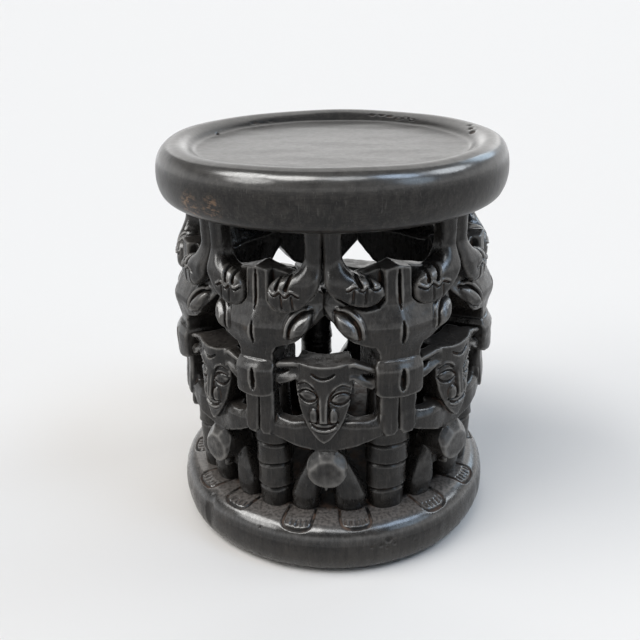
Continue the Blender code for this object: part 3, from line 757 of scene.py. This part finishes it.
def make_figure(unit):
    block = Block((-76, 102, 56), (76, 182, 258), 100 + unit, cell_of(unit))
    draw = np.random.default_rng(200 + unit)
    shift, lean, lift = draw.uniform(-1, 1), draw.uniform(-0.02, 0.02), draw.uniform(-1, 1)
    knob_shift = draw.uniform(-1, 1)
    leg_grow = draw.uniform(-1, 1, 2)
    ear_grow = draw.uniform(-0.5, 1, 2)
    ear_droop = draw.uniform(2, 6, 2)
    eyes = [(16.8 + draw.uniform(-0.6, 0.6), EYE_LEVEL + draw.uniform(-1.2, 1.2)) for _ in SIDES]
    if unit == 1:
        shift, lean, lift, knob_shift = -0.6, 0, 1.5, 1.6
        leg_grow = (2.5, 4.5)
        ear_grow = (2, 1)
        ear_droop = (1, 6.5)
        eyes = [(16.2, 210), (17.6, 207)]

    add_body(block, HIGH_KNEES.get(unit, 0), leg_grow)
    add_arms(block)
    for side, grow, droop in zip(SIDES, ear_grow, ear_droop):
        add_ear(block, side, 50 + grow, droop, shift, lift)
    head = both_sides([(0, 155.5), (5, 159), (10, 164.8), (16.4, 173.5), (21.6, 184), (25.6, 196),
                       (28.2, 209), (29.6, 222), (31.2, 240.5 + lift), (29, 244.5 + lift),
                       (12, 242 + lift), (0, 241.3 + lift)])
    head = [(u + shift + lean * (w - HEAD_MIDDLE), w) for u, w in head]
    block.slab(head, face_relief(shift, lean, eyes), 131, 1.2, 1)
    add_knob(block, knob_shift)
    block.roughen(11, 0.45)
    block.roughen(5, 0.16)

    def knob_wear(u, v, w):
        away = np.hypot(u - knob_shift, w - KNOB_LEVEL)
        return 0.13 * step(v, 159, 162) * step(21 - away, 0, 4)

    carve(f"figure_look_{unit}", f"figure_{unit}", "figure_wood", block, PITCH * (unit - 1), knob_wear)


# Beast heads
BEAST_REAR = 110
EYE_AT = (51, 283.5)
EYE_HALF = (16, 7.4)
EYE_SLANT = math.radians(49)
# Depth of the ridge where the two planes of the face meet, at its levels
CREST_LEVELS = (240, 253, 263, 272, 277, 282, 287, 303, 309, 320, 345)
CREST = (165.6, 166, 168.2, 171, 171.8, 171.2, 169.2, 161.6, 160.2, 159.4, 157.6)
# Lower edge of the fists that lie on a head: how far along, and its level
FIST_ALONG = (14, 20, 32, 46, 60, 74)
FIST_EDGE = (306, 300, 297.5, 300.5, 308, 318)


def almond(u, w, side):
    """Place in a slanted eye: along it, across it, and its half width there."""
    along, across = turned(u * side, w, EYE_AT, EYE_SLANT)
    share = np.clip(along / EYE_HALF[0], -1, 1)
    half = EYE_HALF[1] * np.where(share < 0, 1 - share ** 2, (1 - share ** 2) ** 0.6)
    return along, across, half


def beast_relief(u, w):
    """Front of a beast's face: two planes that meet in a ridge, slanted eyes and two slits."""
    far = np.abs(u)
    slope = 0.05 + 0.13 * step(w, 250, 268)
    face = np.interp(w, CREST_LEVELS, CREST) - slope * np.clip(far - 1.5, 0, None)
    face = face - 4 * step(far, 56, 76) * step(w, 256, 280)
    for side in SIDES:
        along, across, half = almond(u, w, side)
        inside = half - np.abs(across)
        over = np.clip(np.abs(along) - EYE_HALF[0], 0, None)
        gap = np.hypot(over, np.clip(-inside, 0, None))
        inner = step(across, -3, 3)
        near = step(EYE_HALF[0] + 5 - np.abs(along), 0, 5)
        face = face + 5.4 * np.clip(inside / 5, 0, 1) ** 0.5 * (inside > 0)
        face = face - (1 + 3.2 * inner) * ridge(gap, 1.5, 1.4) * (inside <= 0)
        face = face + 2.4 * ridge(gap, 5.6, 2.4) * inner * near
        face = face - 0.8 * ridge(gap, 9.6, 1.6) * inner * near
    face = face - 6.5 * rounded(dome(u, w, (0, 318), (2, 21)))
    return face - 5 * rounded(dome(u, w, (0, 275.5), (1.8, 13)))


def beast_front(u, w):
    """The relief, cut back behind the fists."""
    full = beast_relief(u, w)
    far = np.abs(u)
    covered = step(far, 13, 16) * step(w - np.interp(far, FIST_ALONG, FIST_EDGE), 0, 1.6)
    return full + (146 - full) * covered


def make_beast(unit):
    block = Block((-77, 102, 203), (77, 184, 347), 300 + unit, cell_of(unit))
    draw = np.random.default_rng(400 + unit)
    shift, lift = draw.uniform(-1.5, 1.5), draw.uniform(-1, 1)
    if unit == 1:
        shift, lift = -1, 1
    if unit == UNITS:
        shift, lift = -1.5, 1

    face = both_sides([(0, 238), (20, 238), (20.5, 254), (24.5, 260.5), (34, 263), (44, 266.5),
                       (53, 273), (61, 282.5), (67.5, 291), (73.8, 298.5), (73.8, 312),
                       (60, 322), (56, 329), (40, 331.5), (18, 336.5), (0, 341.5)])
    block.slab(face, beast_front, lambda u, w: BEAST_REAR + 20 * step(w, 296, 322), 2, 1)
    inner = both_sides([(0, 250), (24, 256), (46, 262), (62, 276), (73.8, 286),
                        (73.8, 315), (62, 307), (46, 304), (0, 304)])
    block.slab(inner, 138, BEAST_REAR, 4, 3)

    muzzle = both_sides([(0, 206.6), (12, 207.2), (20, 208.4), (23, 211), (23.4, 239 + lift),
                         (21, 245 + lift), (0, 245.5 + lift)])
    muzzle = [(u + shift, w) for u, w in muzzle]

    def muzzle_front(u, w):
        du = u - shift
        shape = 173.2 - 0.008 * du ** 2 - 5 * step(w, 234, 247)
        return shape - 7.5 * rounded(dome(du, w, (0.6, 225.5), (3.2, 12.5)))

    block.slab(muzzle, muzzle_front, BEAST_REAR, 2.2, 1)
    block.roughen(12, 0.5)
    block.roughen(5, 0.16)
    carve(f"beast_look_{unit}", f"beast_head_{unit}", "beast_wood", block, PITCH * (unit - 0.5))


# Hanging arms
ARM_FRONT = 157
FIST_FRONT = 165.5
ARM_ROUND = 8
ARM_BULGE = 9


def make_arm(unit, side):
    name = "left" if side < 0 else "right"
    block = Block((8, 134, 292), (76, 180, 386), 500 + 2 * unit + (side > 0), cell_of(unit))
    draw = np.random.default_rng(600 + 2 * unit + (side > 0))
    drop, finger = draw.uniform(-1.5, 1.5), draw.uniform(-1, 1)
    if unit == 1 and side < 0:
        drop = 5.5
    if unit == UNITS and side > 0:
        drop = -1
    shape = curve([(55.5, 392), (73.9, 392), (73.9, 360), (73.6, 340), (71.5, 327), (66, 316),
                   (57, 306.5 + drop), (46, 300 + drop), (33, 297.5 + drop), (22.5, 300.5 + drop),
                   (16, 307 + drop), (14.6, 315), (17, 323), (23, 329), (31, 332),
                   (40, 334), (48, 338.5), (53, 347), (55, 360)], closed=True, steps=4)
    crease = curve([(18, 319 + drop), (25, 316 + drop), (31, 320 + drop), (37, 315.5 + drop),
                    (43, 320 + drop), (51, 316.5 + drop)], steps=4)

    def front(u, w):
        depth = np.clip(-outline(u, w, shape), 0, None)
        edge = np.clip(1 - depth / ARM_BULGE, 0, 1)
        top = ARM_FRONT + (FIST_FRONT - ARM_FRONT) * step(352 - w, 0, 28)
        face = top - ARM_ROUND + ARM_ROUND * np.sqrt(np.clip(1 - edge ** 2, 0, 1))
        for middle, lean in ((31 + finger, -0.25), (42.5 + finger, -0.35)):
            slot = [(middle, 337), (middle + lean * 14, 323 + drop / 2)]
            face = face - 8 * groove(u, w, slot, 4.6)
            line = [(middle + 1.5, 316.5 + drop), (middle + 2.5, 303 + drop)]
            face = face - 2.2 * groove(u, w, line, 2.4)
        face = face - 2.4 * groove(u, w, crease, 2.6)
        return face + 1.4 * groove(u, w, [(a, b + 2.6) for a, b in crease], 3)

    block.slab(shape, front, 139, 1.2, 1)
    block.roughen(10, 0.4)
    block.roughen(4.5, 0.14)
    carve(f"arm_look_{name}_{unit}", f"hanging_arm_{name}_{unit}", "arm_wood", block, PITCH * (unit - 0.5),
          mirrored=side < 0)


# Banded pillars
PILLAR_RING = 135.2
# Where a band laps over the next, above the base, and how the pillar's radius changes with height
BAND_EDGES = (23.5, 55.5, 80.5)
PILLAR_LEVELS = (58, 80, 150, 156, 207)
PILLAR_RADII = (17.4, 18.8, 21.2, 20.5, 18.5)
PHASES = 6.28


def phase(draw):
    """A random start of a wave."""
    return draw.uniform(0, PHASES)


def make_pillar(unit):
    draw = np.random.default_rng(700 + unit)
    columns, rows = ((128, 200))
    heights = np.linspace(BASE_TOP - SINK, CHIN + SINK, rows)
    z, p = np.meshgrid(heights, np.arange(columns) * FULL_TURN / columns, indexing="ij")
    radius = np.interp(z, PILLAR_LEVELS, PILLAR_RADII)
    stand = np.zeros_like(z)
    for level in [BASE_TOP + edge + draw.uniform(-1.5, 1.5) for edge in BAND_EDGES]:
        over = z - (level + 1.2 * np.cos(p + phase(draw)) + 0.6 * np.cos(3 * p + phase(draw)))
        lip = np.exp(-np.clip(over, 0, None) / 5) * (over > 0)
        below = np.clip(1 + over / 6, 0, 1) ** 1.5
        dip = np.where(over > 0, np.clip(1 - over, 0, 1), below)
        radius = radius + 1.6 * lip - 4.2 * dip
        # Grooves lie low and lips stand out, so the wood darkens the grooves with dirt and painted shade
        # and lightens the lips with rubbed wear and painted glints
        stand = stand - 0.4 * dip + 0.16 * ridge(over, 2, 1)
    radius = radius + 0.4 * np.cos(2 * p + phase(draw)) + 0.3 * np.cos(5 * p + 0.06 * z)
    along = radius * np.sin(p) / PILLAR_RING * WALL
    points = np.stack([along, PILLAR_RING + radius * np.cos(p), z], axis=-1).reshape(-1, 3)
    points = np.concatenate([points, [(0, PILLAR_RING, height) for height in heights[[0, -1]]]])
    stand = np.concatenate([stand.ravel(), [0, 0]])
    points = to_world(points, PITCH * (unit - 0.5))
    quads = closed_tube(rows, columns)
    add_piece(f"pillar_look_{unit}", f"pillar_{unit}", "pillar_wood", points, quads, stand)


# Seat and base
def waves(angle, draw, counts, size):
    """Unevenness around a disc."""
    total = np.zeros_like(angle)
    for count in counts:
        total = total + size / math.sqrt(count) * np.cos(count * angle + phase(draw))
    return total


def disc(profile, segments):
    """Turned grid from the profile, as radius, height and angle grids."""
    r, z = (np.array(values) for values in zip(*profile))
    angle = np.arange(segments) * FULL_TURN / segments
    z, angle = np.meshgrid(z, angle, indexing="ij")
    return np.repeat(r[:, None], segments, axis=1), z, angle


def add_disc(name, node, slot, r, z, angle, stand):
    """Adds the piece of a disc's grids, closed at the middle of its top and underside."""
    grid = np.stack([r * np.sin(angle), -r * np.cos(angle), z], axis=-1) * MM
    points = np.concatenate([grid.reshape(-1, 3), grid[[0, -1]].mean(axis=1)])
    stand = np.concatenate([stand.ravel(), [0, 0]])
    add_piece(name, node, slot, points, closed_tube(*r.shape), stand)


def spaced(points, gap):
    """Profile points at an even gap along a smooth line."""
    line = np.array(curve(points, steps=24))
    length = np.concatenate([[0], np.cumsum(np.hypot(*np.diff(line, axis=0).T))])
    at = np.linspace(0, length[-1], int(length[-1] / gap) + 1)
    return list(zip(*(np.interp(at, length, values) for values in line.T)))


# Marks on the seat: degrees around, radius, half length, half width and depth
SEAT_MARKS = (
    (143.5, 152.5, 5, 1.4, 1.9),
    (147, 154.2, 4.5, 1.7, 2.2),
    (150.5, 153.2, 5.5, 1.5, 1.8),
    (155.5, 156, 5, 1.2, 1.2),
    (159.5, 157, 4, 1.4, 1.5),
    (164, 156.4, 5, 1.1, 1.1),
    (-138.5, 151.5, 5, 1.3, 1.3),
    (-142.5, 150.4, 6, 1.1, 1.2),
    (-147.5, 151.8, 4, 1.3, 1.2),
    (-113.5, 147, 3.5, 1.5, 1.6),
    (101, 156, 6, 3.4, 1.4),
    (106, 159, 5, 3, 1.2),
    (110, 163, 5, 3, 1),
)


SEAT_FLOOR = 429
# The seat from its floor over the rim to its underside: radius and height
SEAT_RIM = ((131, SEAT_FLOOR), (141, 429.2), (146, 429.8), (149, 431.2), (153, 434.2), (159, 437.6),
            (165, 439.5), (172, 439.3), (178.4, 436.8), (183.4, 431.8), (186.7, 424.4), (188.3, 415),
            (188.4, 404), (186, 393.5), (181.5, 386.2), (174, 382.2), (163, SEAT_UNDER))


def make_seat():
    segments = 600
    profile = [(r, SEAT_FLOOR) for r in np.arange(2, 130, 2.6)]
    profile += spaced(SEAT_RIM, 1.5)
    profile += [(r, SEAT_UNDER) for r in np.arange(160, 1, -5)]
    r, z, angle = disc(profile, segments)
    draw = np.random.default_rng(11)
    rim = step(r, 120, 175) * step(z, 384, 392)
    r += rim * waves(angle, draw, (2, 3, 5, 7, 11), 0.6)
    z += step(z, 415, 436) * step(r, 150, 165) * waves(angle, draw, (2, 3, 4, 6, 9), 0.6)
    top = step(z, 420, 425)
    x, y = r * np.sin(angle), -r * np.cos(angle)
    hand = 0.2 * np.sin(x / 21 + 1.2 * np.sin(y / 13)) + 0.07 * np.sin(y / 6.5 + 0.8 * np.sin(x / 31))
    z += top * (1 - step(r, 142, 152)) * hand
    # The rim's crest stands out and the dish's inner wall lies low, so the wood lightens the crest with
    # rubbed wear and painted glints and darkens the wall with dirt and painted shade
    stand = 0.16 * top * step(r, 158, 168) - 0.14 * top * ridge(r, 151, 6)
    for turn, ring, length, wide, depth in SEAT_MARKS:
        apart = wrapped(angle - math.radians(turn))
        pit = top * rounded(dome(ring * apart, r, (0, ring), (length, wide)), 0.7)
        z -= depth * pit
        stand -= 0.3 * pit
    add_disc("seat_look", "seat", "seat_wood", r, z, angle, stand)


def foot_marks(along, out, draw):
    """Depth of a foot's outline and toe marks, cut in the base's shoulder."""
    wide = 15.8 + draw.uniform(-0.8, 0.8)
    tip = 174 + draw.uniform(-1.5, 2.5)
    right = [(wide + 0.5, 146), (wide, 160), (wide - 1.5, tip - 4), (wide * 0.5, tip)]
    edge = curve([(-a, b) for a, b in right] + right[::-1], steps=4)
    cut = 2.4 * groove(along, out, edge, 3.2)
    for toe in np.linspace(-wide + 5, wide - 5, 5):
        bow = tip - 3.2 - 0.014 * toe * toe
        lean = draw.uniform(-0.8, 0.8)
        cut = np.maximum(cut, 2 * groove(along, out, [(toe, bow), (toe + lean, bow - 6)], 2.4))
    return cut


BASE_SHIFT = 2.4
FOOT_APART = 31
# The base's shoulder, and its side down to the floor: radius and height
BASE_SHOULDER = ((140, BASE_TOP), (156, 60.4), (164, 59.9), (171, 58.4), (177, 54.6), (181.2, 48.5),
                 (183.2, 40))
BASE_SIDE = ((183.4, 38.5), (183.5, 30), (182.8, 20), (179.5, 10.5), (174, 4.2), (168, 1), (163, 0))
# A dent in the base's side: degrees around and height of its middle, and its half sizes
DENT_AT = (-48, 38)
DENT_HALF = (2.6, 22)
# Chips in the base's side: degrees around, height and size
BASE_CHIPS = ((15, 36.5, 2.2), (18.2, 37.3, 3), (21, 41, 3.6), (23.2, 36, 2.8), (20.4, 33, 2.4),
              (31.2, 31.4, 1.8), (-24, 49.7, 1.8), (-24.6, 14.7, 2))


def make_base():
    segments = 820
    profile = [(r, BASE_TOP) for r in np.arange(4, 138, 6)]
    profile += spaced(BASE_SHOULDER, 1.1)
    profile += spaced(BASE_SIDE, 1.8)
    profile += [(r, 0) for r in np.arange(158, 2, -8)]
    r, z, angle = disc(profile, segments)
    degrees = np.degrees(wrapped(angle))
    draw = np.random.default_rng(21)
    rim = step(r, 150, 178) * step(z, 2, 8)
    r += rim * (waves(angle, draw, (2, 3, 5, 8, 12, 19), 0.6) - BASE_SHIFT * np.sin(angle))
    side = step(z, 6, 12) * (1 - step(z, 46, 54))
    r += 0.14 * side * waves(angle, draw, (31, 43, 59, 71, 83), 3)
    top = step(z, 58, 60.3)
    # Inside the ring of pillars the base's top lies low, so the wood paints it dark there with dirt and
    # painted shade under the stool, and keeps settled dust and painted sheen off it
    stand = -0.17 * top * (1 - step(r, 140, 164))
    stand -= 0.45 * top * (1 - step(r, 134, 154))
    shoulder = step(z, 49, 53)
    for unit in range(UNITS):
        for foot in SIDES:
            middle = drifted(np.array([PITCH * unit + foot * FOOT_APART / WALL]))[0]
            turn = wrapped(angle - middle)
            cut = foot_marks(turn * WALL, r, draw) * shoulder * (np.abs(turn) < 0.2)
            z -= cut
            stand -= 0.2 * cut
    r -= 2.6 * rounded(dome(degrees, z, DENT_AT, DENT_HALF), 1) * step(r, 170, 178)
    for turn, level, size in BASE_CHIPS:
        chip = rounded(dome(degrees, z, (turn, level), (0.34 * size, size)), 0.7) * step(r, 170, 178)
        r -= 1.3 * chip
        stand -= 0.25 * chip
    add_disc("base_look", "base", "base_wood", r, z, angle, stand)


for number in range(1, UNITS + 1):
    make_figure(number)
    make_beast(number)
    make_pillar(number)
    for hand in SIDES:
        make_arm(number, hand)
make_seat()
make_base()


# Floor, light and camera
FLOOR_REACH = 40
FLOOR_LEVEL = -0.0005
FLOOR_SEEN = (0.81, 0.79, 0.772)
FLOOR_BOUNCE = (0.62, 0.605, 0.585)


def seen_rays(n):
    """1 for what the camera, reflections and glass see, 0 for light that bounces."""
    path = n.add("ShaderNodeLightPath")
    kinds = ("Is Camera Ray", "Is Glossy Ray", "Is Transmission Ray")
    return n.most(*(path.outputs[kind] for kind in kinds))


def make_floor():
    """Plain pale floor that keeps the shadow of the stool."""
    mesh = bpy.data.meshes.new("floor")
    corners = [(FLOOR_REACH * x, FLOOR_REACH * y, 0) for x, y in ((-1, -1), (1, -1), (1, 1), (-1, 1))]
    mesh.from_pydata(corners, [], [(0, 1, 2, 3)])
    floor = bpy.data.objects.new("floor", mesh)
    floor.location.z = FLOOR_LEVEL
    bpy.context.scene.collection.objects.link(floor)
    material = bpy.data.materials.new("floor_look")
    n = Nodes(material, "Object")
    shader = n.tree.nodes["Principled BSDF"]
    n.link(n.mix(seen_rays(n), FLOOR_BOUNCE, FLOOR_SEEN), shader.inputs["Base Color"])
    shader.inputs["Roughness"].default_value = 0.9
    shader.inputs["Specular IOR Level"].default_value = 0.1
    mesh.materials.append(material)


WARM = (1, 0.99, 0.97)
# Lamps: the direction each comes from, how wide it looks in degrees, strength and colour
LAMPS = {
    "left_front": ((-0.28, -0.36, 0.89), 26, 0.95, WARM),
    "left_side": ((-0.6, -0.1, 0.8), 26, 0.95, WARM),
    "left_low": ((-0.68, -0.45, 0.58), 24, 0.5, WARM),
    "top_front": ((0.14, -0.44, 0.89), 22, 0.35, (0.95, 0.975, 1)),
    "right_front": ((0.52, -0.22, 0.82), 22, 0.5, (0.62, 0.78, 1)),
    "right_side": ((0.74, 0.16, 0.65), 22, 0.5, (0.88, 0.94, 1)),
    "right_low": ((0.76, -0.42, 0.5), 24, 0.2, (0.62, 0.8, 1)),
    "right_back": ((0.58, 0.66, 0.47), 22, 0.3, (0.66, 0.83, 1)),
    "back_window": ((0, 0.85, 0.53), 60, 0.65, WARM),
}
# Strength of the sky's light, and of the wall and the ceiling that are seen, which meet at these heights
SKY = 0.1
BACKGROUND = 0.74
CEILING = 0.12
CEILING_RISE = (0.15, 0.5)


def make_world():
    """A dim even sky that the camera and reflections see as a pale wall under a dark ceiling."""
    world = bpy.data.worlds.new("studio")
    bpy.context.scene.world = world
    n = Nodes(world, "Generated")
    sky = n.tree.nodes["Background"]
    sky.inputs["Color"].default_value = (0.95, 0.97, 1, 1)
    sky.inputs["Strength"].default_value = SKY
    plain = n.add("ShaderNodeBackground")
    plain.inputs["Color"].default_value = (1, 1, 1, 1)
    strength = n.spread(n.up(n.where), *CEILING_RISE, BACKGROUND, CEILING)
    n.link(strength, plain.inputs["Strength"])
    mix = n.add("ShaderNodeMixShader")
    n.link(seen_rays(n), mix.inputs["Fac"])
    n.link(sky.outputs["Background"], mix.inputs[1])
    n.link(plain.outputs["Background"], mix.inputs[2])
    n.link(mix.outputs["Shader"], n.tree.nodes["World Output"].inputs["Surface"])


def make_lamps():
    for name, (source, wide, strength, colour) in LAMPS.items():
        lamp = bpy.data.lights.new(name, "SUN")
        lamp.energy = strength
        lamp.angle = math.radians(wide)
        lamp.color = colour
        obj = bpy.data.objects.new(name, lamp)
        obj.rotation_euler = Vector(source).to_track_quat("Z", "Y").to_euler()
        bpy.context.scene.collection.objects.link(obj)


def make_camera():
    """Camera placed by the outlines of the seat and the base in the photo."""
    azimuth, pitch, yaw, roll = (math.radians(a) for a in (3, 23.2437, 1.0556, 1.0548))
    distance, height, lens, sensor = 0.86535, 0.59498, 44.997, 36
    spot = (distance * math.sin(azimuth), -distance * math.cos(azimuth), height)
    turn = Matrix.Rotation(azimuth + yaw, 4, "Z") @ Matrix.Rotation(math.pi / 2 - pitch, 4, "X")
    turn = turn @ Matrix.Rotation(-roll, 4, "Z")
    camera = bpy.data.cameras.new("camera")
    camera.sensor_width = sensor
    camera.lens = lens
    obj = bpy.data.objects.new("camera", camera)
    obj.matrix_world = Matrix.Translation(spot) @ turn
    bpy.context.scene.collection.objects.link(obj)
    bpy.context.scene.camera = obj


make_floor()
make_world()
make_lamps()
make_camera()
bpy.context.scene.view_settings.view_transform = "Standard"
